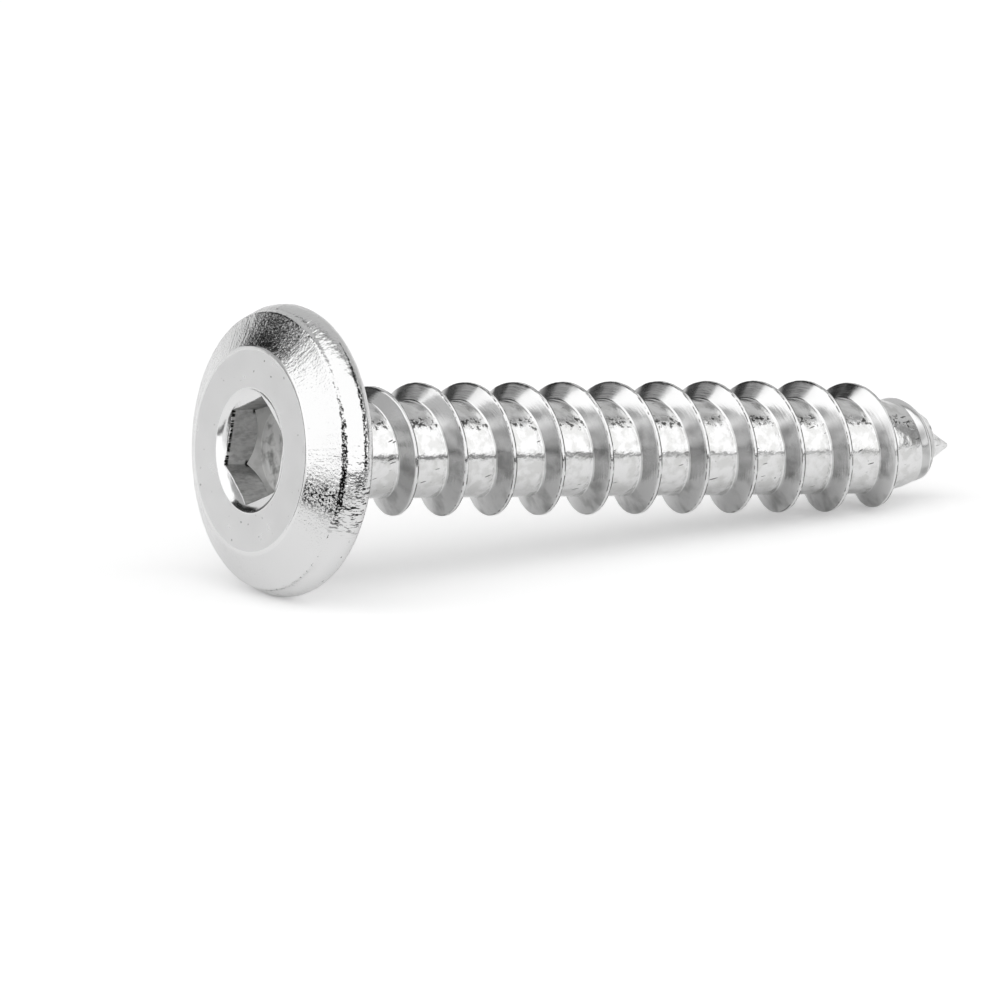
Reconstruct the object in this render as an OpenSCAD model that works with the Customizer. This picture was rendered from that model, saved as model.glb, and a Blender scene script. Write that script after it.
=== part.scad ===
// Hex socket furniture screw with a coarse wood thread: one forged and rolled solid.
// Millimetres. The screw lies on the floor z = 0 on its rim and on its last full
// thread crest, head towards -X and point towards +X, the middle of its box over the origin.

/* [Head] */
// outside diameter of the head
head_d = 15; // [14.6:0.1:24]
// height of the head from the flat face to the seat under it
head_h = 3; // [2.8:0.1:6]
// diameter of the flat face
face_d = 10.6; // [8:0.1:13.5]
// diameter of the crease between bevel and rim
crease_d = 14.3; // [11.5:0.1:14.7]
// depth of that crease below the flat face
crease_h = 1.04; // [0.6:0.02:1.6]
// depth of the widest circle of the rim below the flat face
widest_h = 2; // [1.7:0.05:2.2]
// radius of the rounding between the rim and the seat
rim_round = 0.8; // [0.3:0.05:0.9]

/* [Socket] */
// width of the hexagon across its flats
socket_af = 5; // [3:0.1:6]
// depth of the straight hexagon walls below the flat face
wall_depth = 1.6; // [1:0.1:1.8]
// depth of the flat bottom below the flat face
floor_depth = 2.15; // [1.9:0.05:2.3]
// diameter of the dished ring around the mouth
ring_d = 6.38; // [6:0.1:8]
// depth of that ring where it meets the hexagon corners
ring_depth = 0.24; // [0.1:0.02:0.5]
// turn of the hexagon against the screw's upward side, degrees
hex_turn = 16.4; // [0:0.1:60]

/* [Thread] */
// length of the shank from the seat to the point
shank_len = 40.5; // [25:0.5:80]
// outside diameter of the thread
thread_d = 6.9; // [6:0.1:8]
// diameter of the core between the turns
core_d = 5; // [4:0.1:5.6]
// rise of the thread in one turn
pitch = 3; // [2.4:0.1:4]
// width of the flat on the thread's crest
crest_w = 0.28; // [0.1:0.02:0.5]
// slope of the thread's flanks against the plane across the axis, degrees
flank_deg = 24.5; // [15:0.5:35]
// where the thread starts around the screw, degrees
thread_turn = 67.2; // [0:0.1:360]

/* [Point] */
// length of the tapered end, from the full core to the point
taper_len = 4.8; // [3:0.1:7]
// radius of the blunt point
point_r = 0.1; // [0.05:0.01:0.3]
// turn of the whole screw about its axis as it lies, degrees
lie_turn = 10.9; // [0:0.1:360]

/* [Hidden] */
$fn = 96;

turn_n = 48;                        // angular steps in one turn of the thread
head_r = head_d / 2;
face_r = face_d / 2;
crease_r = min(crease_d / 2, head_r - 0.1);
wide_s = min(widest_h, head_h - rim_round);
core_r = core_d / 2;
crest_r = thread_d / 2;
thread_h = crest_r - core_r;
total_len = head_h + shank_len;
seat_r = crest_r + 0.08;            // inner edge of the flat seat, just clear of the crests
neck_len = 1.15 * thread_h;         // length of the fillet from the seat to the core
floor_s = min(floor_depth, head_h - 0.7);
wall_s = min(wall_depth, floor_s - 0.3);
hex_r = socket_af / sqrt(3);        // radius of the hexagon's corners
floor_hex_r = hex_r * 0.77;

// The thread's section over one pitch: root, filleted foot, flank, crest, flank, foot.
foot_s = 0.17;
foot_r = min(0.09, thread_h / 4);
flank_s = foot_s + (thread_h - foot_r) * tan(flank_deg);
root_s = pitch - 2 * flank_s - crest_w;
section = [[0, 0], [root_s, 0], [root_s + foot_s, foot_r], [root_s + flank_s, thread_h],
           [root_s + flank_s + crest_w, thread_h], [pitch - foot_s, foot_r]];
cols = len(section);
crest_mid = root_s + flank_s + crest_w / 2;

// Radius of the core at distance d from the point: a small cone, a shoulder, a slow taper.
function core_at(d) = let (u = d / taper_len)
    lookup(u, [[0, point_r], [0.296, 0.368 * core_r], [0.335, 0.412 * core_r],
               [0.375, 0.58 * core_r], [0.417, 0.688 * core_r], [0.5, 0.76 * core_r],
               [0.69, 0.888 * core_r], [1, core_r]]);
// Height of the thread at distance d from the point, as a share of its full height.
function tip_share(d) = lookup(d / taper_len,
    [[0.3, 0], [0.375, 0.12], [0.69, 0.45], [0.98, 0.79], [1.31, 0.86], [1.63, 1]]);
// The run-out of the thread under the head, as a share of its full height.
function head_share(s) = let (u = min(1, max(0, (s - head_h - 0.5) / (2.2 * pitch))))
    1 - (1 - u) * (1 - u);

first_s = head_h - 0.5;             // where the helical grid of the shank starts
last_s = total_len - 0.75 * taper_len;
rows = floor((last_s - first_s) / pitch * turn_n);
start_fade = floor(turn_n / 4);
ends_s = first_s + pitch * rows / turn_n;

function row_s(i) = first_s + pitch * i / turn_n;
function row_a(i) = thread_turn + 360 * i / turn_n;
function share(i, s) = min(1, i / start_fade) * min(1, (rows - i) / start_fade)
    * head_share(s) * tip_share(total_len - s);
function at(s, r, a) = [r * cos(a), r * sin(a), s];
function grid_point(i, j) = let (s = row_s(i) + section[j][0], d = total_len - s)
    at(s, core_at(d) + (j == 0 ? 0 : section[j][1] * share(min(i, rows), s)), row_a(i));

// Index of a grid point. Column cols of a row is column 0 one turn further on.
function ix(i, j) = j == cols ? ix(i + turn_n, 0)
    : i <= rows ? i * cols + j : (rows + 1) * cols + i - rows - 1;
grid_n = (rows + 1) * cols + turn_n;

// Rings that close the two ends, half a step round from the grid's rows.
loops = 7;
tip_ring_s = total_len - 0.3;
function ring_a(i) = row_a(rows) + 360 * (i + 0.5) / turn_n;
function loop_s(k, i) = let (s = ends_s + pitch * (i + 0.5) / turn_n, w = k / loops)
    s + (tip_ring_s - s) * w;
function head_ix(i) = grid_n + (i % turn_n);
function loop_ix(k, i) = grid_n + k * turn_n + (i % turn_n);

shank_points = concat(
    [for (i = [0 : rows]) for (j = [0 : cols - 1]) grid_point(i, j)],
    [for (i = [rows + 1 : rows + turn_n]) grid_point(i, 0)],
    [for (i = [0 : turn_n - 1]) at(first_s - 0.12, core_r, row_a(0) + 360 * (i + 0.5) / turn_n)],
    [for (k = [1 : loops]) for (i = [0 : turn_n - 1])
        at(loop_s(k, i), core_at(total_len - loop_s(k, i)), ring_a(i))],
    [for (i = [0 : turn_n - 1]) at(total_len, point_r, ring_a(i))]);

shank_faces = concat(
    [for (i = [0 : rows - 1]) for (j = [0 : cols - 1]) each
        [[ix(i, j), ix(i, j + 1), ix(i + 1, j + 1)], [ix(i, j), ix(i + 1, j + 1), ix(i + 1, j)]]],
    // under the head
    [for (i = [0 : turn_n - 1]) [head_ix(i), ix(i, 0), ix(i + 1, 0)]],
    [for (i = [0 : turn_n - 2]) [head_ix(i), ix(i + 1, 0), head_ix(i + 1)]],
    [for (j = [0 : cols - 1]) [head_ix(turn_n - 1), ix(0, j + 1), ix(0, j)]],
    [[head_ix(turn_n - 1), ix(0, 0), head_ix(0)]],
    [[for (i = [0 : turn_n - 1]) head_ix(i)]],
    // at the point
    [for (i = [0 : turn_n - 1]) [ix(rows + i, 0), loop_ix(1, i), ix(rows + i + 1, 0)]],
    [for (i = [0 : turn_n - 2]) [ix(rows + i + 1, 0), loop_ix(1, i), loop_ix(1, i + 1)]],
    [[ix(rows + turn_n, 0), loop_ix(1, turn_n - 1), loop_ix(1, 0)]],
    [for (j = [0 : cols - 1]) [ix(rows, j), ix(rows, j + 1), loop_ix(1, 0)]],
    [for (k = [1 : loops]) for (i = [0 : turn_n - 1]) each
        [[loop_ix(k, i), loop_ix(k + 1, i), loop_ix(k + 1, i + 1)],
         [loop_ix(k, i), loop_ix(k + 1, i + 1), loop_ix(k, i + 1)]]],
    [[for (i = [turn_n - 1 : -1 : 0]) loop_ix(loops + 1, i)]]);

// How the screw lies: its axis dips towards the point until a crest meets the floor.
function crest_env(s) = let (d = total_len - s) core_at(d) + thread_h * head_share(s) * tip_share(d);
low_first = first_s + crest_mid + pitch * ((180 + lie_turn - thread_turn) / 360 - 1);
function dip(s) = let (a = s + 0.35 * crest_w - head_h + rim_round, b = head_r - rim_round - crest_env(s))
    atan(b / a) + asin(rim_round / sqrt(a * a + b * b));
tilt = min([for (k = [1 : ceil(shank_len / pitch) + 1])
    let (s = low_first + pitch * k) if (s > total_len / 2 && s < total_len - 1) dip(s)]);
lift = (head_h - rim_round) * sin(tilt) + (head_r - rim_round) * cos(tilt) + rim_round;
shift = (face_r * sin(tilt) - total_len * cos(tilt) - point_r * sin(tilt)) / 2;

module head() {
    rim_n = 8;
    round_n = 8;
    rotate([0, 0, 180 + lie_turn + 2.07]) rotate_extrude()
        polygon(concat(
            [[0, 0], [face_r, 0]],
            [for (k = [0 : rim_n]) let (a = 90 * k / rim_n)
                [crease_r + (head_r - crease_r) * sin(a),
                 crease_h + (wide_s - crease_h) * (1 - cos(a))]],
            [for (k = [0 : round_n]) let (a = 90 * k / round_n)
                [head_r - rim_round * (1 - cos(a)), head_h - rim_round * (1 - sin(a))]],
            // the fillet under the head, from the seat down into the core
            [for (k = [0 : 5]) let (a = 90 * k / 6)
                [seat_r - (seat_r - core_r + 0.15) * sin(a), head_h + neck_len * (1 - cos(a))]],
            [[core_r - 0.15, head_h + neck_len], [0, head_h + neck_len]]));
}

module socket() {
    rotate([0, 0, hex_turn]) {
        translate([0, 0, -1])
            cylinder(r = hex_r, h = wall_s + 1, $fn = 6);
        translate([0, 0, wall_s - 0.001])
            cylinder(r1 = hex_r, r2 = floor_hex_r, h = floor_s - wall_s + 0.001, $fn = 6);
    }
    // the dished ring, steep at its lip and nearly flat at the hexagon
    rotate_extrude()
        polygon([[0, -1], [ring_d / 2 + 0.05, -1], [ring_d / 2 + 0.05, 0], [ring_d / 2, 0],
                 [ring_d / 2 - 0.1, ring_depth * 0.45], [hex_r + 0.02, ring_depth * 0.92],
                 [socket_af / 2 + 0.1, ring_depth * 1.28], [0, ring_depth * 2.2]]);
}

module screw() {
    color("silver")
        translate([shift, 0, lift]) rotate([0, 90 + tilt, 0]) rotate([0, 0, 180 - lie_turn])
            difference() {
                union() {
                    head();
                    polyhedron(points = shank_points, faces = shank_faces, convexity = 12);
                }
                socket();
            }
}

screw();
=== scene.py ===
# %% [markdown]
# # A hex socket furniture screw in bright nickel
#
# The screw is one piece of steel wire: one end is squeezed into a round head, a six sided
# punch presses the socket into it, and dies roll the coarse thread into the shank. Then it
# is plated with nickel. Here its skin is built again, finer than in the frame, from the
# same sizes. A lathe-like list of rings makes the head and a helix of sections makes the
# thread, because both follow how the real tools move.

# %% Load the frame
import math
import bpy
from mathutils import Matrix, Vector, noise


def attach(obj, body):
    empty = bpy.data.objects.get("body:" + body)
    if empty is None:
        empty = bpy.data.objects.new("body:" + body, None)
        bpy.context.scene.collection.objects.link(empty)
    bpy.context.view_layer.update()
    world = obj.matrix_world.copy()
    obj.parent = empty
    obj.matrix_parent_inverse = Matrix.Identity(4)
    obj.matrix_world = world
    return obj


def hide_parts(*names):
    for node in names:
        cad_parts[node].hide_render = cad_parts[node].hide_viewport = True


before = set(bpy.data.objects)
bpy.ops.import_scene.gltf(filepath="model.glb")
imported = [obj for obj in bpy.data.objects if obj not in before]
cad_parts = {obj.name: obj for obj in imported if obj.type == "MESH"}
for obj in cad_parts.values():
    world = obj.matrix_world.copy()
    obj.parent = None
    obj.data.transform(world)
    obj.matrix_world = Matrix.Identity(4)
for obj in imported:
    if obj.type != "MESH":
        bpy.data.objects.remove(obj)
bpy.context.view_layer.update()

# %% [markdown]
# ## Sizes
#
# Every length is in millimetres, along an axis that starts at the flat face of the head
# and ends at the point. They are the sizes of the solid, so the skin fits it. Only the
# crest's width and the flank's lean are a little finer here, as rolling rounds them.

# %% Sizes of the head and the socket
MM = 0.001
head_r, head_h, face_r = 7.5, 3.0, 5.3
crease_r, crease_h, widest_h, rim_round = 7.15, 1.04, 2.0, 0.8
socket_flat, wall_depth = 2.5, 1.6                  # middle of the hexagon to a side, straight wall
ring_r, ring_depth, hex_turn = 3.19, 0.24, 16.4
hex_corner = socket_flat * 2 / math.sqrt(3)
print("hexagon across its corners: %.2f mm" % (2 * hex_corner))

# %% Sizes of the shank
shank_len, core_r, crest_r = 40.5, 2.5, 3.45
pitch, crest_w, flank_deg, thread_turn = 3.0, 0.21, 26.3, 67.2
taper_len, point_r, total_len = 4.8, 0.1, 43.5
thread_h = crest_r - core_r
seat_r, neck_len = crest_r + 0.08, 1.15 * thread_h
print("turns of thread on the shank: %.1f" % (shank_len / pitch))

# %% [markdown]
# ## How the screw lies
#
# A loose screw rests on two points, the edge of its head and one crest of the thread near
# the point, so its axis dips. One matrix carries the finished skin from its own axis to
# that rest, and the skin can be built upright, where every formula is short.

# %% The rest
tilt, lift, shift, lie_turn = 6.653628, 7.709781, -21.302254, 10.9
lying = (Matrix.Translation((shift * MM, 0, lift * MM))
         @ Matrix.Rotation(math.radians(90 + tilt), 4, "Y")
         @ Matrix.Rotation(math.radians(180 - lie_turn), 4, "Z"))
print("the axis points to", [round(v, 3) for v in lying.to_3x3() @ Vector((0, 0, 1))])

# %% [markdown]
# ## The head's outline
#
# A head like this comes out of a round die: a flat face, a sloping bevel, a small step
# where the die ends, and a swollen rim. A list of points is turned about the axis. Small arcs
# stand on each edge, since a pressed edge is never razor sharp and catches a line of light.

# %% A helper for arcs and straight runs
def run(start, end, steps, swell=0.0):
    """Points from start to end, both (radius, depth), bowed sideways by swell."""
    side = Vector((end[1] - start[1], start[0] - end[0])).normalized()
    return [(start[0] + (end[0] - start[0]) * t + side[0] * swell * 4 * t * (1 - t),
             start[1] + (end[1] - start[1]) * t + side[1] * swell * 4 * t * (1 - t))
            for t in [k / steps for k in range(steps + 1)]]


def smooth(knots, steps):
    """A curve through all knots but the first and last, which only steer its ends."""
    def cubic(p, q, r, s, t):
        return q + 0.5 * t * (r - p + t * (2 * p - 5 * q + 4 * r - s + t * (3 * (q - r) + s - p)))

    found = []
    for four_knots in zip(knots, knots[1:], knots[2:], knots[3:]):
        for k in range(steps):
            found.append(tuple(cubic(*four, k / steps) for four in zip(*four_knots)))
    return found + [knots[-2]]


print("middle of a run bowed by 0.1:", run((0, 0), (1, 0), 2, 0.1)[1])


# %% Neck, seat and rim
def quarter(steps):
    """Angles of a quarter turn, for a rounded edge."""
    return [math.radians(90 * k / steps) for k in range(steps + 1)]


inner_r = core_r - 0.02
# the sleeve runs on inside the first turn of the thread and closes it there
sleeve = [(core_r - 0.4, 5.9), (inner_r, 5.8), (inner_r, 5.0)]
neck = sleeve + [(seat_r - (seat_r - inner_r) * math.sin(a), head_h + neck_len * (1 - math.cos(a)))
                 for a in reversed(quarter(12))]
seat = run((seat_r + 0.03, head_h), (head_r - rim_round - 0.02, head_h), 4)
back = [(head_r - rim_round * (1 - math.cos(a)), head_h - rim_round * (1 - math.sin(a)))
        for a in reversed(quarter(12))]
swell = [(head_r, 2.12), (head_r, widest_h), (head_r - 0.015, 1.88), (head_r - 0.06, 1.72),
         (head_r - 0.13, 1.56), (head_r - 0.21, 1.43)]
step = [(crease_r + 0.07, 1.34), (crease_r + 0.03, 1.27), (crease_r + 0.015, 1.19),
        (crease_r + 0.005, 1.11), (crease_r - 0.03, 1.035), (crease_r - 0.10, 0.978),
        (crease_r - 0.2, 0.92)]
rim = smooth(swell + step, 4)
print("points from the neck to the crease:", len(neck + seat + back + rim))

# %% Crease, bevel and flat face
slope = Vector((crease_r - face_r, crease_h)).normalized()
steep, edge = math.atan2(slope[1], slope[0]), 0.12
bevel = run((crease_r - 0.14, crease_h - 0.08), (face_r + edge * slope[0], edge * slope[1]), 26, 0.035)
edge_round = edge / math.tan(steep / 2)
face_edge = [(face_r - edge + edge_round * math.sin(a), edge_round * (1 - math.cos(a)))
             for a in [steep * k / 6 for k in (5, 4, 3, 2, 1, 0)]]
face = run((face_r - edge - 0.04, 0), (ring_r + 0.05, 0), 16)
print("slope of the bevel: %.1f degrees" % math.degrees(steep))


# %% [markdown]
# ## The socket
#
# The punch dishes a small ring round the hexagon before it goes in. Its end is turned to a
# blunt cone, so each flat wall ends below in an arc, deepest in the middle. Each ring of
# the head may take part of its radius from a circle and part from the hexagon, so circle
# turns to hexagon with no seam, and a depth may be a rule that depends on the radius.

# %% Ring, walls and floor
def dish(radius):
    """Depth of the dished ring, from a table of radius and depth."""
    steps = [(0, ring_depth * 2.2), (socket_flat + 0.1, ring_depth * 1.28),
             (hex_corner + 0.02, ring_depth * 0.92), (ring_r - 0.1, ring_depth * 0.45), (ring_r, 0)]
    for (r0, s0), (r1, s1) in zip(steps, steps[1:]):
        if radius <= r1:
            return s0 + (s1 - s0) * (radius - r0) / (r1 - r0)
    return 0.0


def hexagon(angle):
    """Distance from the axis to a wall of the hexagon."""
    return socket_flat / math.cos((angle - math.radians(hex_turn)) % math.radians(60) - math.radians(30))


def cone(radius):
    """Depth of the punched end: a steep cone outside, a flatter one inside."""
    steep_part = wall_depth + hex_corner - max(radius, floor_r)
    return steep_part + (floor_r - min(max(radius, 0.8), floor_r)) * 0.16


def wall(share):
    """Rule for a ring on the walls: a share of the way from the lip down to the cone."""
    return lambda radius: lip_h + (cone(radius) - lip_h) * share


floor_r, lip_h = 2.3, 0.34
ring = [(ring_r * (1 - t), t, dish) for t in (0.0, 0.1, 0.22, 0.36, 0.5, 0.64, 0.77, 0.88, 0.95)]
lip = [(0, 1.012, dish), (0, 1.0, lambda radius: dish(radius) + 0.03)]
walls = [(0, 1.0 - 0.004 * t, wall(t)) for t in [k / 9 for k in range(10)]]
slopes = [(floor_r * t, 0.996 * (1 - t), cone) for t in (0.1, 0.35, 0.65, 0.9, 1.0)]
floor = [(r, 0, cone) for r in (2.24, 2.1, 1.9, 1.7, 1.5, 1.3, 1.1, 0.95, 0.8, 0.6, 0.4, 0.2)]
print("rings in the socket:", len(ring + lip + walls + slopes + floor))

# %% [markdown]
# ## The head's mesh
#
# All rings have the same number of points, so the skin between two of them is a strip of
# quads. 288 points put one on each corner of the hexagon. The die leaves the metal a
# little uneven, so points on bevel and rim move by about a hundredth of a millimetre.

# %% Turn the rings into points and faces
round_n = 288
points, faces, finish_of = [], [], []
FACE, BEVEL, RIM, SOCKET_RING, WALL, FLOOR, ROOT, FLANK, CREST = range(9)


def uneven(p, size, depth, seed=0.0):
    """A small move of the skin at a place, in waves about size wide."""
    return depth * noise.noise(Vector(p) / size + Vector((seed, 3.7, 1.3)))


def ring_points(circle, hexed, depth, bump):
    """Add one ring; hexed is the share of its radius that comes from the hexagon."""
    for k in range(round_n):
        a = math.radians(hex_turn) + 2 * math.pi * k / round_n
        r = circle + (hexed * hexagon(a) if hexed else 0)
        s = depth(r) if callable(depth) else depth
        p = (r * math.cos(a), r * math.sin(a), s)
        if bump:
            r += uneven(p, 0.9, bump) + uneven(p, 0.35, bump * 0.5, 9.1)
            p = (r * math.cos(a), r * math.sin(a), s + uneven(p, 0.6, bump, 5.5))
        points.append(p)


def add_strips(rows, finish, bump=0.0):
    """Add rings of (circle, hexagon share, depth or rule) and the quads back to the ring before."""
    for row in rows:
        ring_points(*row, bump)
        base = len(points) - round_n
        if base >= round_n:
            for k in range(round_n):
                n = (k + 1) % round_n
                faces.append((base - round_n + k, base - round_n + n, base + n, base + k))
                finish_of.append(finish)


print("points in one ring of the head:", round_n)


# %% The head, from the neck to the middle of the socket
def turned(profile):
    return [(r, 0, s) for r, s in profile]


add_strips(turned(neck), ROOT)
add_strips(turned(seat), FACE)
add_strips(turned(back[1:]), RIM, 0.010)
add_strips(turned(rim[1:]), RIM, 0.016)
add_strips(turned(bevel), BEVEL, 0.012)
add_strips(turned(face_edge), SOCKET_RING, 0.003)
add_strips(turned(face), FACE)
add_strips(ring + lip[:1], SOCKET_RING)
add_strips(lip[1:] + walls, WALL)
add_strips(slopes + floor, FLOOR)
points.append((0, 0, cone(0)))
middle = len(points) - 1
for k in range(round_n):
    faces.append((middle - round_n + k, middle - round_n + (k + 1) % round_n, middle))
    finish_of.append(FLOOR)
head_faces = len(faces)
print("faces in the head:", head_faces)

# %% [markdown]
# ## The thread
#
# Rolling moves steel up between two grooves, and where the two waves meet on the crest
# they leave a fine seam. The section over one pitch is a list of (run, height), swept
# along a helix: each row is one step of the turn, and a row's end is the start of the row
# one turn later. That keeps the crest's edges crisp, which a plain grid would cut across.

# %% The section over one pitch
foot_s, foot_r = 0.17, 0.09
flank_run = (thread_h - foot_r) * math.tan(math.radians(flank_deg))
flank_s = foot_s + flank_run
root_s = pitch - 2 * flank_s - crest_w
rise = [(0.0, 0.0), (0.09, 0.004), (0.14, 0.03), (foot_s, foot_r)]
flank = [(foot_s + flank_run * t, foot_r + (thread_h - foot_r) * t) for t in (0.12, 0.35, 0.6, 0.82, 0.92)]
rounded = [(flank_s - 0.010, thread_h - 0.034), (flank_s + 0.022, thread_h - 0.011),
           (flank_s + 0.075, thread_h)]
half = rise + flank + rounded                      # from the root up to the crest
seam = (flank_s + crest_w / 2, thread_h - 0.016)
section = ([(root_s * t, 0.0) for t in (0.0, 0.06, 0.3, 0.55, 0.8, 0.94)]
           + [(root_s + s, h) for s, h in half] + [(root_s + seam[0], seam[1])]
           + [(pitch - s, h) for s, h in reversed(half[1:])])
cols = len(section)
print("points in the section:", cols)


# %% [markdown]
# The core narrows to a short cone, and the thread fades in under the head and out at the
# point. Both are tables of a few pairs, read off the real outline and joined by lines.

# %% Core, point and fades
def between(u, table):
    """The table's second value at u, on straight lines between its pairs."""
    for (u0, v0), (u1, v1) in zip(table, table[1:]):
        if u <= u1:
            return v0 + (v1 - v0) * max(0, u - u0) / (u1 - u0)
    return table[-1][1]


def core_at(d):
    """Radius of the core at a distance from the point."""
    return between(d / taper_len, [(0, point_r), (0.296, 0.368 * core_r), (0.335, 0.412 * core_r),
                                   (0.375, 0.58 * core_r), (0.417, 0.688 * core_r), (0.5, 0.76 * core_r),
                                   (0.69, 0.888 * core_r), (1, core_r)])


def fade(s):
    """Share of the thread's height at a depth under the face."""
    u = min(1, max(0, (s - head_h - 0.5) / (2.2 * pitch)))
    return (1 - (1 - u) ** 2) * between((total_len - s) / taper_len, [
        (0.3, 0), (0.4, 0.06), (0.69, 0.28), (0.98, 0.76), (1.31, 0.86), (1.63, 1)])


print("core 2 mm from the point: %.2f mm" % (2 * core_at(2)))

# %% Points of the helix
turn_n = 132
first_s, last_s = head_h - 0.5, total_len - 0.75 * taper_len
rows = int((last_s - first_s) / pitch * turn_n)
start_fade = turn_n // 4
ends_s = first_s + pitch * rows / turn_n
helix_start = len(points)


def on_helix(i, run_s, height):
    """A point of the thread, with the small unevenness that rolling leaves."""
    s = first_s + pitch * i / turn_n + run_s
    a = math.radians(thread_turn + 360 * i / turn_n)
    grow = min(1, i / start_fade) * min(1, (rows - i) / start_fade) * fade(s)
    r = core_at(total_len - s) + height * max(0, grow)
    p = (r * math.cos(a), r * math.sin(a), s)
    r += uneven(p, 0.7, 0.006) + uneven(p, 0.3, 0.010 * height / thread_h, 4.4)
    s += uneven(p, 0.45, 0.012 * height / thread_h, 7.7)
    return (r * math.cos(a), r * math.sin(a), s)


for i in range(rows + 1):
    points += [on_helix(i, s, h) for s, h in section]
points += [on_helix(i, 0, 0) for i in range(rows + 1, rows + turn_n + 1)]
print("rows of the helix:", rows, "points so far:", len(points))


# %% Faces of the helix
def at(i, j):
    """Number of the point in row i and column j; a row's end is the start of the row one turn on."""
    if j == cols:
        return at(i + turn_n, 0)
    return helix_start + (i * cols + j if i <= rows else (rows + 1) * cols + i - rows - 1)


for i in range(rows):
    for j in range(cols):
        faces.append((at(i, j), at(i, j + 1), at(i + 1, j + 1), at(i + 1, j)))
        higher = max(section[j][1], section[(j + 1) % cols][1])
        low = min(section[j][1], section[(j + 1) % cols][1])
        finish_of.append(ROOT if higher < 0.02 else CREST if low > thread_h - 0.03 else FLANK)
print("faces in the thread:", len(faces) - head_faces)

# %% [markdown]
# The last turn meets a set of plain rings that shrink to the blunt point. Each ring leans
# a little less than the one before, which takes the helix back to a flat end.

# %% The point
loops, cap_len = 16, 0.30
cap = [(cap_len, 1.0), (0.14, 1.0), (0.05, 0.93), (0.0, 0.55)]     # distance from the end, share
loop_start = len(points)
for k in range(1, loops + 1):
    for i in range(turn_n):
        s = ends_s + pitch * (i + 0.5) / turn_n
        s += (total_len - cap_len - s) * k / loops
        a = math.radians(thread_turn + 360 * (rows + i + 0.5) / turn_n)
        r = core_at(total_len - s)
        r += uneven((r * math.cos(a), r * math.sin(a), s), 0.5, 0.012)
        points.append((r * math.cos(a), r * math.sin(a), s))
for d, share in cap[1:]:
    for i in range(turn_n):
        a = math.radians(thread_turn + 360 * (rows + i + 0.5) / turn_n)
        r = (point_r + (core_at(cap_len) - point_r) * d / cap_len) * share
        points.append((r * math.cos(a), r * math.sin(a), total_len - d))
points.append((0, 0, total_len))
print("rings at the point:", loops + len(cap) - 1)


# %% Faces at the point and under the head
def on_loop(k, i):
    """Number of a point on one of the point's rings."""
    return loop_start + (k - 1) * turn_n + i % turn_n


new = []
for i in range(turn_n):
    new.append((at(rows + i, 0), on_loop(1, i), at(rows + i + 1, 0)))
    if i < turn_n - 1:
        new.append((at(rows + i + 1, 0), on_loop(1, i), on_loop(1, i + 1)))
new.append((at(rows + turn_n, 0), on_loop(1, turn_n - 1), on_loop(1, 0)))
new += [(at(rows, j), at(rows, j + 1), on_loop(1, 0)) for j in range(cols)]
for k in range(1, loops + len(cap) - 1):
    new += [(on_loop(k, i), on_loop(k + 1, i), on_loop(k + 1, i + 1), on_loop(k, i + 1))
            for i in range(turn_n)]
last_loop = loops + len(cap) - 1
new += [(on_loop(last_loop, i), len(points) - 1, on_loop(last_loop, i + 1)) for i in range(turn_n)]
faces += new
finish_of += [ROOT] * len(new)
print("faces at the point:", len(new))

# %% [markdown]
# ## One mesh
#
# Head and thread go into one mesh, as they are one piece of steel. Its faces are shaded
# smooth, and edges that turn more than 38 degrees stay sharp: the corners of the socket.
# The points are laid down in their resting place, and each also keeps its place on the
# upright screw in millimetres, so that the finishes can follow the axis.

# %% Make the object
sharp_deg = 38
skin = bpy.data.meshes.new("plated_screw")
skin.from_pydata([lying @ (Vector(p) * MM) for p in points], [], faces)
own_place = skin.attributes.new("own_place", "FLOAT_VECTOR", "POINT")
own_place.data.foreach_set("vector", [c for p in points for c in p])
skin.polygons.foreach_set("use_smooth", [True] * len(skin.polygons))
skin.polygons.foreach_set("material_index", finish_of)
skin.set_sharp_from_angle(angle=math.radians(sharp_deg))
skin.update()
screw = bpy.data.objects.new("plated_screw", skin)
bpy.context.collection.objects.link(screw)
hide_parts("screw")
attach(screw, "root")
print("triangles:", sum(len(p.vertices) - 2 for p in skin.polygons))

# %% [markdown]
# ## Finishes
#
# Everything carries the same bright nickel, a layer too thin to hide what is under it. So
# each finish is the same metal over another surface: a blanked face, a die-pressed bevel,
# a swollen rim, broached walls, rolled flanks. Colours are written in sRGB hex.

# %% Helpers for colours and nodes
def colour(hex_code):
    """Linear values of a colour that is written in sRGB hex."""
    parts = [int(hex_code[i:i + 2], 16) / 255 for i in (1, 3, 5)]
    return tuple(c / 12.92 if c <= 0.04045 else ((c + 0.055) / 1.055) ** 2.4 for c in parts) + (1.0,)


def add_node(tree, kind, inputs=(), out=0, **settings):
    """Add a node, set its properties, fill or link its inputs, and give back one output.

    Inputs are a list in the node's own order, or a dictionary by name or number."""
    node = tree.nodes.new("ShaderNode" + kind)
    for key, value in settings.items():
        setattr(node, key, value)
    pairs = inputs.items() if isinstance(inputs, dict) else enumerate(inputs)
    for key, value in pairs:
        if isinstance(value, bpy.types.NodeSocket):
            tree.links.new(value, node.inputs[key])
        else:
            node.inputs[key].default_value = value
    return node.outputs[out]


NICKEL = "#E6E6E6"
SOFT = {"interpolation_type": "SMOOTHSTEP"}     # for a threshold with soft ends
print("nickel, linear:", [round(c, 3) for c in colour(NICKEL)[:3]])

# %% [markdown]
# Two ways to read a place on the screw serve every finish. One is the place itself in
# millimetres, for an even grain. The other keeps only the direction from the axis, times
# the radius of the head, so a pattern in it makes streaks that run straight outward.

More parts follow.
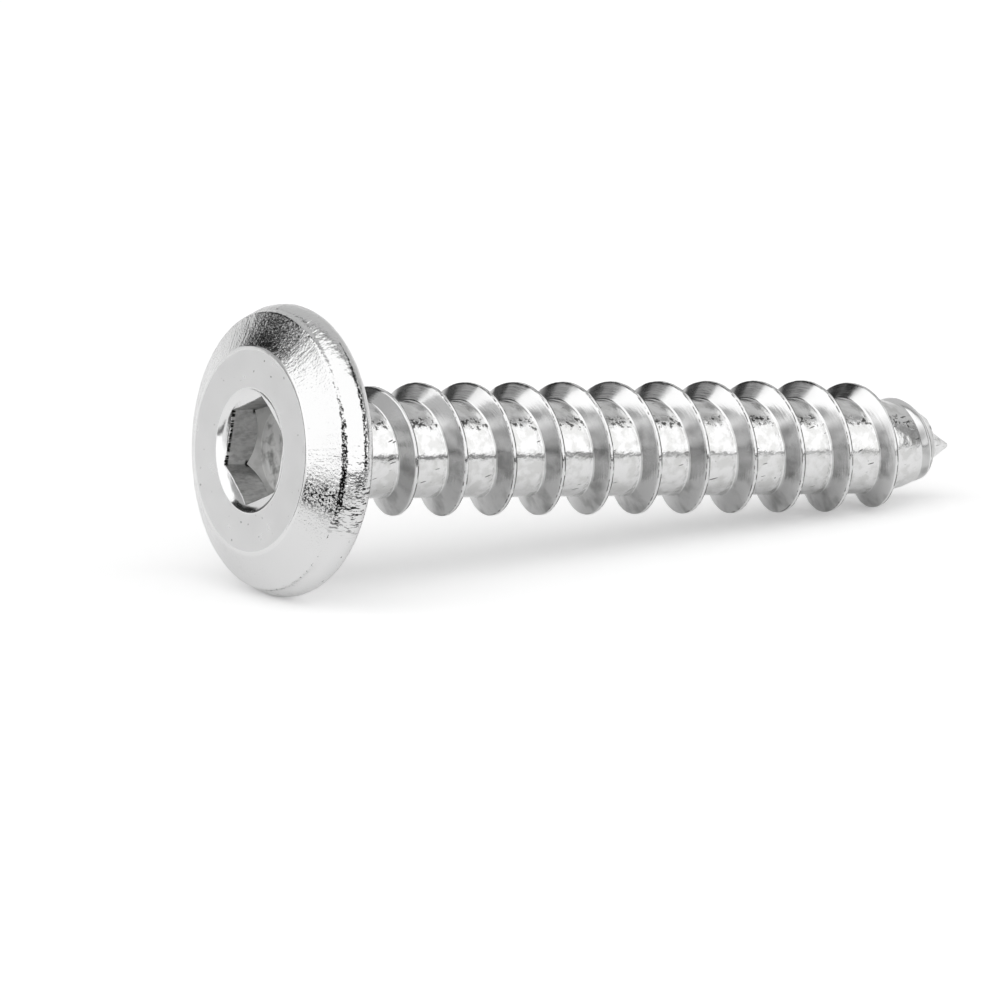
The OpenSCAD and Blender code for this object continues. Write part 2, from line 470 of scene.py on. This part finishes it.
# %% Places on the screw
def places(tree):
    """(place in mm, outward streaks in mm, distance from the axis in mm, angle in degrees)."""
    place = add_node(tree, "Attribute", out="Vector", attribute_name="own_place")
    flat = add_node(tree, "VectorMath", [place, (1, 1, 0)], operation="MULTIPLY")
    apart = add_node(tree, "VectorMath", [flat], out="Value", operation="LENGTH")
    outward = add_node(tree, "VectorMath", [flat], operation="NORMALIZE")
    wide = add_node(tree, "VectorMath", [outward, (7, 7, 7)], operation="MULTIPLY")
    along = add_node(tree, "VectorMath", [place, (0.1, 0.1, 0.25)], operation="MULTIPLY")
    streak = add_node(tree, "VectorMath", [wide, along], operation="ADD")
    across, up = [add_node(tree, "SeparateXYZ", [outward], out=i) for i in (0, 1)]
    turn = add_node(tree, "Math", [up, across], operation="ARCTAN2")
    angle = add_node(tree, "Math", [turn, 180 / math.pi], operation="MULTIPLY")
    return place, streak, apart, angle


def along_section(tree, place, angle):
    """How far a place is along the thread's section, in mm from the start of the root."""
    start = pitch * thread_turn / 360 - first_s
    climbed = add_node(tree, "Math", [angle, -pitch / 360, start], operation="MULTIPLY_ADD")
    depth = add_node(tree, "SeparateXYZ", [place], out=2)
    run_on = add_node(tree, "Math", [depth, climbed], operation="ADD")
    return add_node(tree, "Math", [run_on, pitch, 0.0], operation="WRAP")


print("the seam on the crest lies %.2f mm along the section" % (root_s + seam[0]))


# %% [markdown]
# A real surface is described by the width and the depth of its bumps. These helpers turn
# such sizes in millimetres into noise, and noise into patches or into relief.

# %% Patterns with sizes in millimetres
def bumps(where, width, detail=2.0, rough=0.5):
    """Inputs for a noise whose bumps are about width millimetres across."""
    return {"Vector": where, "Scale": 0.5 / width, "Detail": detail, "Roughness": rough}


def patches(tree, noise_inputs, start, end, low=0.0, high=1.0):
    """Patches that go from low to high where the noise goes from start to end."""
    cloudy = add_node(tree, "TexNoise", noise_inputs)
    return add_node(tree, "MapRange", [cloudy, start, end, low, high], **SOFT)


def hammered(tree, noise_inputs, depth, under=None):
    """Relief of a noise, depth millimetres deep, on top of the relief under it."""
    height = add_node(tree, "TexNoise", noise_inputs)
    inputs = {"Height": height, "Distance": depth * MM, "Strength": 1.0}
    return add_node(tree, "Bump", {**inputs, "Normal": under} if under else inputs)


def window(tree, value, rise, fall):
    """1 between two soft edges of a value, and 0 before the rise and after the fall."""
    risen = add_node(tree, "MapRange", [value, *rise], **SOFT)
    fallen = add_node(tree, "MapRange", [value, *fall, 1.0, 0.0], **SOFT)
    return add_node(tree, "Math", [risen, fallen], operation="MULTIPLY")


print("scale of a noise with bumps of 0.1 mm:", bumps(None, 0.1)["Scale"])


# %% Nickel over any surface
def new_finish(name):
    """A new material and its nodes."""
    material = bpy.data.materials.new(name)
    material.use_nodes = True
    return material, material.node_tree


def nickel(material, tint, gloss, normal):
    """Finish a material and put it on the skin: tint and gloss are sockets or plain values."""
    links, shader = material.node_tree.links, material.node_tree.nodes["Principled BSDF"]
    looks = {"Metallic": 1.0, "Base Color": tint, "Roughness": gloss, "Normal": normal}
    for key, value in looks.items():
        if isinstance(value, bpy.types.NodeSocket):
            links.new(value, shader.inputs[key])
        else:
            shader.inputs[key].default_value = value
    skin.materials.append(material)
    print("finish:", material.name)


def two_tone(tree, mask, first, second):
    """The second colour where the mask is 1: a pit, and also painted shade. The first may be a socket."""
    first = first if isinstance(first, bpy.types.NodeSocket) else colour(first)
    return add_node(tree, "Mix", {0: mask, 6: first, 7: colour(second)}, out=2, data_type="RGBA")


print("finishes on the skin so far:", len(skin.materials))


# %% [markdown]
# ### Blanked face
#
# The flat face was pressed against a ground die, and so was the seat under the head. They
# are satin, with a fine even tooth and faint turning rings. A few specks are pits under
# the plate.

# %% Blanked face
material, tree = new_finish("nickel_on_blanked_face")
place, streak, apart, angle = places(tree)
tooth = hammered(tree, bumps(place, 0.09, 3.0), 0.0016)
# a wave's rings are 0.314 mm apart at a scale of 1, so these are 0.35 mm apart
turning = add_node(tree, "TexWave", {"Vector": place, "Scale": 0.9, "Distortion": 1.5, "Detail": 3.0},
                   out=1, wave_type="RINGS", rings_direction="Z")
marked = add_node(tree, "Bump", {"Height": turning, "Distance": 0.0006 * MM,
                                 "Strength": 1.0, "Normal": tooth})
specks = patches(tree, bumps(place, 0.16, 1.0), 0.73, 0.79)
gloss = patches(tree, bumps(place, 0.8, 3.0), 0.3, 0.7, 0.27, 0.36)
nickel(material, two_tone(tree, specks, "#E2E2E2", "#8E8E8D"), gloss, marked)

# %% [markdown]
# ### Painted shade and dark reflections in the folds
#
# The step of the head and the back edge of the rim are painted black as ragged lines: in the step
# it is painted shade, with some dirt, and along the back edge a painted dark reflection. Beside
# them lies fine crackle of painted dark reflection. All of it covers only stretches of angle on one
# side of the head. Angles are round the axis, in degrees, and each stretch has soft ends. A line is a
# distance from the fold that noise makes ragged, and then cut off.

# %% Painted shade and dark reflections in the folds
PAINTED_DARK_COLOUR = "#161616"


def painted_dark_line(tree, place, off, side, width):
    """A ragged dark line where off is near 0 mm; it breaks up where side falls to 0."""
    noise_here = add_node(tree, "TexNoise", bumps(place, 0.11, 4.0, 0.7))
    off = add_node(tree, "Math", [off], operation="ABSOLUTE")
    ragged = add_node(tree, "Math", [noise_here, -3.2 * width, off], operation="MULTIPLY_ADD")
    ragged = add_node(tree, "Math", [side, -0.9 * width, ragged], operation="MULTIPLY_ADD")
    line = add_node(tree, "MapRange", [ragged, -1.9 * width, -1.7 * width, 1.0, 0.0], **SOFT)
    flecks = patches(tree, bumps(place, 0.045, 1.0), 0.52, 0.6, 1.0, 0.25)
    return add_node(tree, "Math", [flecks, line], operation="MULTIPLY")


def painted_fold_dark(tree, place, apart, angle):
    """Painted shade in the step of the head, with some dirt, and a painted dark reflection along its back
    edge, over stretches of angle on one side.
    """
    off_step = add_node(tree, "Math", [apart, crease_r - 0.01], operation="SUBTRACT")
    step = painted_dark_line(tree, place, off_step, window(tree, angle, (50.0, 96.0), (112.0, 124.0)), 0.07)
    depth = add_node(tree, "SeparateXYZ", [place], out=2)
    off_edge = add_node(tree, "Math", [depth, head_h - rim_round], operation="SUBTRACT")
    edge = painted_dark_line(tree, place, off_edge, window(tree, angle, (38.0, 62.0), (92.0, 112.0)), 0.12)
    return add_node(tree, "Math", [step, edge], operation="MAXIMUM")


def painted_crackle_dark(tree, where, width, angle, start, end, least=0.49):
    """Painted dark reflection in fine wrinkles, between two angles of the head, where the noise is over
    least.
    """
    inside = window(tree, angle, (start, start + 8), (end - 8, end))
    crackle = patches(tree, bumps(where, width, 3.0, 0.65), least, least + 0.06)
    return add_node(tree, "Math", [inside, crackle], operation="MULTIPLY")


print("folds that hold soot: %.2f mm from the axis, and %.1f mm deep" % (crease_r, head_h - rim_round))


# %% [markdown]
# ### Pressed bevel
#
# The bevel was squeezed past the end of the die. Its skin crinkled like orange peel, with
# finer folds that run outward. It is bright, so each wrinkle flickers between light and
# dark wherever something dark is mirrored near something light.

# %% Pressed bevel
material, tree = new_finish("nickel_on_pressed_bevel")
place, streak, apart, angle = places(tree)
peel = hammered(tree, bumps(place, 0.065, 2.0, 0.6), 0.028)
folds = hammered(tree, bumps(streak, 0.14), 0.021, peel)
gloss = patches(tree, bumps(place, 1.2), 0.35, 0.65, 0.06, 0.12)
# painted dark reflection: black crackle over two stretches of angle, plus the painted lines of the folds
top = add_node(tree, "Math", [painted_crackle_dark(tree, place, 0.06, angle, -7, 38), 0.65], operation="MULTIPLY")
side = painted_crackle_dark(tree, place, 0.06, angle, 101, 123)
crackle = add_node(tree, "Math", [top, side], operation="MAXIMUM")
painted_dark = add_node(tree, "Math", [crackle, painted_fold_dark(tree, place, apart, angle)], operation="MAXIMUM")
nickel(material, two_tone(tree, painted_dark, NICKEL, PAINTED_DARK_COLOUR), gloss, folds)

# %% [markdown]
# ### Swollen rim
#
# The rim bulged freely out of the die and wrinkled most, in short folds along the axis.

# %% Swollen rim
material, tree = new_finish("nickel_on_swollen_rim")
place, streak, apart, angle = places(tree)
folds = hammered(tree, bumps(streak, 0.15, 3.0, 0.6), 0.045)
peel = hammered(tree, bumps(place, 0.10), 0.03, folds)
gloss = patches(tree, bumps(place, 0.7), 0.35, 0.65, 0.08, 0.16)
# painted dark reflection: black crackle over one stretch of angle, plus the painted lines of the folds
crackle = painted_crackle_dark(tree, streak, 0.065, angle, 96, 128, 0.535)
painted_dark = add_node(tree, "Math", [crackle, painted_fold_dark(tree, place, apart, angle)], operation="MAXIMUM")
nickel(material, two_tone(tree, painted_dark, NICKEL, PAINTED_DARK_COLOUR), gloss, peel)

# %% [markdown]
# ### Ring, walls and floor of the socket
#
# The punch burnished the ring as it went in and dragged fine lines down the walls. Painted shade
# darkens the walls in streaks, lies in ragged teeth at the mouth of the walls on one side, and fills
# the corners below. The floor is matt, with the turning rings of the punch's own end pressed into it, and
# painted shade makes it grey, darkest where it meets the walls.

# %% Ring round the socket
material, tree = new_finish("nickel_on_burnished_ring")
place, streak, apart, angle = places(tree)
dents = hammered(tree, bumps(place, 0.3), 0.012)
nickel(material, colour("#EBEBEB"), 0.16, dents)

# %% Walls of the socket
material, tree = new_finish("nickel_on_broached_wall")
place, streak, apart, angle = places(tree)
depth = add_node(tree, "SeparateXYZ", [place], out=2)
down = add_node(tree, "VectorMath", [place, (1, 1, 0.08)], operation="MULTIPLY")
lines = hammered(tree, bumps(down, 0.07), 0.008)
# painted shade: ragged dark teeth at the mouth of the walls on one side
ragged = patches(tree, bumps(down, 0.06, 1.0), 0.42, 0.48)
mouth = add_node(tree, "MapRange", [depth, 0.42, 0.52, 1.0, 0.0], **SOFT)
teeth = add_node(tree, "Math", [ragged, mouth], operation="MULTIPLY")
one_wall = window(tree, angle, (-108.0, -103.0), (-44.0, -39.0))
teeth = add_node(tree, "Math", [teeth, one_wall], operation="MULTIPLY")
# painted shade in the deep outer corners of the walls
far_out = add_node(tree, "MapRange", [apart, 2.72, 2.84], **SOFT)
deep = add_node(tree, "MapRange", [depth, 1.42, 1.56], **SOFT)
corner = add_node(tree, "Math", [far_out, deep], operation="MULTIPLY")
# painted shade in streaks over all the walls
stretched = add_node(tree, "VectorMath", [place, (1.0, 1.0, 0.4)], operation="MULTIPLY")
mottled = patches(tree, bumps(stretched, 0.12, 4.0, 0.65), 0.3, 0.75, 0.0, 0.45)
painted_dark = add_node(tree, "Math", [corner, teeth], operation="MAXIMUM")
painted_dark = add_node(tree, "Math", [painted_dark, mottled], operation="MAXIMUM")
nickel(material, two_tone(tree, painted_dark, NICKEL, "#2A2A29"), 0.28, lines)

# %% Floor of the socket
material, tree = new_finish("nickel_on_punched_floor")
place, streak, apart, angle = places(tree)
# rings 0.29 mm apart
rings = add_node(tree, "TexWave", {"Vector": place, "Scale": 1.1, "Distortion": 2.0, "Detail": 2.0},
                 out=1, wave_type="RINGS", rings_direction="Z")
pressed = add_node(tree, "Bump", {"Height": rings, "Distance": 0.004 * MM, "Strength": 1.0})
depth = add_node(tree, "SeparateXYZ", [place], out=2)
# painted shade: the floor is greyer than the nickel, darkest on the steep cone by the walls, with darker
# patches
middle_part = add_node(tree, "MapRange", [depth, 2.15, 2.22], **SOFT)
painted_dark = patches(tree, bumps(place, 0.3, 3.0), 0.45, 0.7)
painted_shade_part = two_tone(tree, middle_part, "#989897", "#CFCFCE")
nickel(material, two_tone(tree, painted_dark, painted_shade_part, "#8C8C8B"), 0.40, pressed)

# %% [markdown]
# ### Rolled thread
#
# The root keeps the skin of the wire, bright with shallow pits. Where the two dies met
# they left a band of deeper pits at the same side of every turn, and a few short scores.
# The flanks slid along the dies and are matt, with lines round the axis; painted shade lies in clouds on
# their lower half and in patches just under the crest. The crest is burnished, and painted shade darkens
# its far edge in patches.

# %% Root of the thread
pit_band = 58.0                                    # angle of the band where the dies met
material, tree = new_finish("nickel_on_rolled_root")
place, streak, apart, angle = places(tree)
waves = hammered(tree, bumps(place, 0.28, 3.0), 0.032)
off_band = add_node(tree, "Math", [angle, pit_band], operation="SUBTRACT")
off_band = add_node(tree, "Math", [off_band], operation="ABSOLUTE")
near = add_node(tree, "MapRange", [off_band, 4.0, 14.0, 1.0, 0.0], **SOFT)
limit = add_node(tree, "Math", [near, -0.20, 0.72], operation="MULTIPLY_ADD")
pitting = add_node(tree, "TexNoise", bumps(place, 0.14, 3.0, 0.65))
over = add_node(tree, "Math", [pitting, limit], operation="SUBTRACT")
pits = add_node(tree, "MapRange", [over, -0.02, 0.08], **SOFT)

# scores are noise in the unrolled skin, long round the axis and leaning a little
along = add_node(tree, "SeparateXYZ", [place], out=2)
round_mm = add_node(tree, "Math", [angle, math.radians(core_r)], operation="MULTIPLY")
round_way = add_node(tree, "Math", [along, 0.35, round_mm], operation="MULTIPLY_ADD")
squeezed = add_node(tree, "Math", [along, 0.16], operation="MULTIPLY")
leaning = add_node(tree, "CombineXYZ", [round_way, squeezed])
scores = patches(tree, bumps(leaning, 0.06, 0.0), 0.79, 0.83)
marks = add_node(tree, "Math", [pits, scores], operation="MAXIMUM")
flush = add_node(tree, "Math", [1.0, marks], operation="SUBTRACT")
hollow = add_node(tree, "Bump", {"Height": flush, "Distance": 0.02 * MM,
                                 "Strength": 1.0, "Normal": waves})
clouds = two_tone(tree, patches(tree, bumps(place, 0.3, 3.0), 0.42, 0.62), "#EBEBEB", "#DBDBDA")
nickel(material, two_tone(tree, marks, clouds, "#5E5E5D"), 0.18, hollow)

# %% Flanks of the thread
material, tree = new_finish("nickel_on_rolled_flank")
place, streak, apart, angle = places(tree)
high_up = add_node(tree, "CombineXYZ", [apart])
a_little = add_node(tree, "VectorMath", [place, (0.1, 0.1, 0.1)], operation="MULTIPLY")
slide = add_node(tree, "VectorMath", [high_up, a_little], operation="ADD")
rubbed = hammered(tree, bumps(slide, 0.045, 3.0), 0.0035)
# painted shade in clouds on the lower half of the thread
clouds = patches(tree, bumps(place, 0.6, 3.0), 0.45, 0.75, 0.3, 0.7)
one_end = add_node(tree, "MapRange", [angle, 56.0, 74.0], **SOFT)
other_end = add_node(tree, "MapRange", [angle, -150.0, -90.0, 1.0, 0.0], **SOFT)
lower_half = add_node(tree, "Math", [one_end, other_end], operation="MAXIMUM")
painted_lower_shade = add_node(tree, "Math", [clouds, lower_half], operation="MULTIPLY")
# painted shade in patches just under the crest
top = add_node(tree, "MapRange", [apart, crest_r - 0.07, crest_r - 0.03], **SOFT)
painted_shade_part = patches(tree, bumps(place, 0.16, 3.0), 0.4, 0.6)
edge_line = add_node(tree, "Math", [top, painted_shade_part], operation="MULTIPLY")
painted_dark = add_node(tree, "Math", [painted_lower_shade, edge_line], operation="MAXIMUM")
gloss = patches(tree, bumps(place, 0.5, 3.0), 0.3, 0.7, 0.15, 0.22)
nickel(material, two_tone(tree, painted_dark, "#E9E9E9", "#6A6A69"), gloss, rubbed)

# %% Crest of the thread
material, tree = new_finish("nickel_on_rolled_crest")
place, streak, apart, angle = places(tree)
nicks = hammered(tree, bumps(place, 0.16, 3.0), 0.016)
seam_s = root_s + seam[0]
run_s = along_section(tree, place, angle)
# painted shade on the far edge of the crest, in patches
far_side = add_node(tree, "MapRange", [run_s, seam_s + 0.02, seam_s + 0.05], **SOFT)
painted_shade_part = patches(tree, bumps(place, 0.25, 3.0), 0.38, 0.5)
painted_dark = add_node(tree, "Math", [far_side, painted_shade_part], operation="MULTIPLY")
nickel(material, two_tone(tree, painted_dark, NICKEL, "#4A4A49"), 0.14, nicks)

# %% [markdown]
# ## Camera
#
# The picture was taken from far off with a long lens, from the front left of the head and
# 13 degrees above the floor. The distance and the lens follow from how little the turns of
# the thread shrink towards the point.

# %% Camera
camera = bpy.data.objects.new("camera", bpy.data.cameras.new("camera"))
bpy.context.collection.objects.link(camera)
camera.location = Vector((-476.97, -726.105, 202.221)) * MM
view = Vector((0.530294, 0.81766, -0.224098))
camera.rotation_euler = view.to_track_quat("-Z", "Y").to_euler()
camera.data.lens = 619.2
camera.data.clip_start, camera.data.clip_end = 0.05, 20
bpy.context.scene.camera = camera
print("camera distance: %.0f mm" % (camera.location.length / MM))

# %% [markdown]
# ## Floor and light
#
# Polished metal shows its surroundings more than itself. The surroundings are a plain pale
# table, one very large soft light overhead that leans to the camera's side, and a low pale
# backdrop. The gaps between them are dark, as in any studio, and draw the dark lines.
#
# The table is one pale sheet. To the metal's glossy rays it also shows painted reflections: a bright
# zone that glows on the camera's side, a painted dark ring inside it round the screw, and a painted dark
# slit to the side, as where a table ends. The camera sees it a little lifted, so that it runs into the
# white background.

# %% Floor
half, lifted_for_camera, lifted_for_metal = 3.0, 0.24, 0.08
ground = bpy.data.meshes.new("floor")
corners = [(-half, -half, 0), (half, -half, 0), (half, half, 0), (-half, half, 0)]
ground.from_pydata(corners, [], [(0, 1, 2, 3)])
table = bpy.data.objects.new("floor", ground)
bpy.context.collection.objects.link(table)
paper, tree = new_finish("pale_paper")
ground.materials.append(paper)
shader = tree.nodes["Principled BSDF"]
shader.inputs["Base Color"].default_value = colour("#F4F4F4")
shader.inputs["Roughness"].default_value = 0.9
shader.inputs["Specular IOR Level"].default_value = 0.0
shader.inputs["Emission Color"].default_value = colour("#FFFFFF")
print("floor: %.0f m square" % (2 * half))

# %% Where on the floor
spot = add_node(tree, "TexCoord", out="Object")
x, y = [add_node(tree, "SeparateXYZ", [spot], out=i) for i in (0, 1)]
beside = add_node(tree, "Math", [x], operation="ABSOLUTE")
beside = add_node(tree, "Math", [beside, 0.022], operation="SUBTRACT")      # half the screw's length
beside = add_node(tree, "Math", [beside, 0.0], operation="MAXIMUM")
off_screw = add_node(tree, "CombineXYZ", [beside, y])
away = add_node(tree, "VectorMath", [off_screw], out="Value", operation="LENGTH")
from_head = add_node(tree, "VectorMath", [spot, (0.02, 0.004, 0.0)], operation="ADD")
bearing = add_node(tree, "VectorMath", [from_head], operation="NORMALIZE")
behind = add_node(tree, "VectorMath", [bearing, (0.544, 0.839, 0.0)], out="Value", operation="DOT_PRODUCT")
near_side = add_node(tree, "MapRange", [y, 0.002, 0.008, 1.0, 0.0], **SOFT)
before = add_node(tree, "MapRange", [behind, -0.04, 0.02, 1.0, 0.0], **SOFT)
front = add_node(tree, "Math", [near_side, before], operation="MULTIPLY")
print("floor: measured from the screw in metres")

# %% Painted reflections on the floor, for the metal only
# painted reflection: for glossy rays the floor glows bright from 45 mm out in front, with a painted dark
# ring closer in and a painted black slit to the side
past_screw = add_node(tree, "MapRange", [away, 0.022, 0.027], **SOFT)
painted_bright_zone = add_node(tree, "Math", [past_screw, front], operation="MULTIPLY")
far = add_node(tree, "MapRange", [away, 0.045, 0.052], **SOFT)
level = add_node(tree, "Mix", {0: far, 2: 0.03, 3: 1.25})
strength = add_node(tree, "Math", [level, painted_bright_zone], operation="MULTIPLY")
slit = window(tree, behind, (-0.04, 0.02), (0.12, 0.2))
slit_start = add_node(tree, "MapRange", [away, 0.02, 0.03], **SOFT)
painted_dark_slit = add_node(tree, "Math", [slit, slit_start], operation="MULTIPLY")
painted_zones = add_node(tree, "Math", [painted_bright_zone, painted_dark_slit], operation="MAXIMUM")
camera_ray = add_node(tree, "LightPath", out="Is Camera Ray")
glossy_ray = add_node(tree, "LightPath", out="Is Glossy Ray")
painted_for_metal = add_node(tree, "Math", [glossy_ray, painted_zones], operation="MULTIPLY")
for_camera = add_node(tree, "Math", [camera_ray, lifted_for_camera], operation="MULTIPLY")
for_metal = add_node(tree, "Math", [glossy_ray, lifted_for_metal], operation="MULTIPLY")
lifted = add_node(tree, "Math", [for_camera, for_metal], operation="ADD")
tree.links.new(lifted, shader.inputs["Emission Strength"])
painted_reflection_glow = add_node(tree, "Emission", {"Color": colour("#FFFFFF"), "Strength": strength})
both = add_node(tree, "MixShader", [painted_for_metal, shader.outputs[0], painted_reflection_glow])
tree.links.new(both, tree.nodes["Material Output"].inputs["Surface"])
print("floor: a bright zone in front, from 45 mm away")

# %% [markdown]
# The light is a dome on the camera's side, of one even strength. The backdrop fills the
# other side: pale near the horizon, with a dark flag on the left above it, dimmer where it
# meets the dome. Over its near end a grey side panel reaches up, and a narrow strip stands
# at its far left. The camera itself sees plain white.

# %% Light
world = bpy.data.worlds.new("studio")
bpy.context.scene.world = world
world.use_nodes = True
tree = world.node_tree
sky = add_node(tree, "TexCoord", out="Generated")
toward = add_node(tree, "VectorMath", [sky, (0.530, 0.818, -0.224)], out="Value", operation="DOT_PRODUCT")
left = add_node(tree, "VectorMath", [sky, (-0.839, 0.544, 0.0)], out="Value", operation="DOT_PRODUCT")
height = add_node(tree, "SeparateXYZ", [sky], out=2)
print("light: measured from the camera's view, to the left and upward")

# %% Backdrop, flag, side panel and strip
on_left = add_node(tree, "MapRange", [left, 0.42, 0.5], **SOFT)
flag = add_node(tree, "Mix", {0: on_left, 2: 0.58, 3: 0.02})
low = add_node(tree, "MapRange", [height, 0.22, 0.28, 1.0, 0.0], **SOFT)
backdrop = add_node(tree, "Mix", {0: low, 2: flag, 3: 0.8})
dimmer = add_node(tree, "MapRange", [toward, 0.12, 0.22, 0.45, 1.0], **SOFT)
backdrop = add_node(tree, "Math", [backdrop, dimmer], operation="MULTIPLY")
near_end = add_node(tree, "MapRange", [toward, 0.22, 0.38, 1.0, 0.0], **SOFT)
under_top = add_node(tree, "MapRange", [height, 0.44, 0.54, 1.0, 0.0], **SOFT)
panel = add_node(tree, "Math", [near_end, under_top], operation="MULTIPLY")
grey = add_node(tree, "MapRange", [left, 0.6, 0.75, 0.27, 0.38], **SOFT)
backdrop = add_node(tree, "Mix", {0: panel, 2: backdrop, 3: grey})
far_left = add_node(tree, "MapRange", [left, 0.80, 0.83], **SOFT)
strip = window(tree, height, (0.24, 0.3), (0.49, 0.55))
strip = add_node(tree, "Math", [far_left, strip], operation="MULTIPLY")
backdrop = add_node(tree, "Mix", {0: strip, 2: backdrop, 3: 0.42})
dome = add_node(tree, "MapRange", [toward, -0.06, -0.01, 1.0, 0.0], **SOFT)
level = add_node(tree, "Mix", {0: dome, 2: backdrop, 3: 1.25})
level = add_node(tree, "Mix", {0: add_node(tree, "LightPath", out="Is Camera Ray"), 2: level, 3: 1.0})
background = tree.nodes["Background"]
background.inputs["Color"].default_value = colour("#FFFFFF")
tree.links.new(level, background.inputs["Strength"])
bpy.context.scene.view_settings.view_transform = "Standard"
print("light: one soft dome, one backdrop")
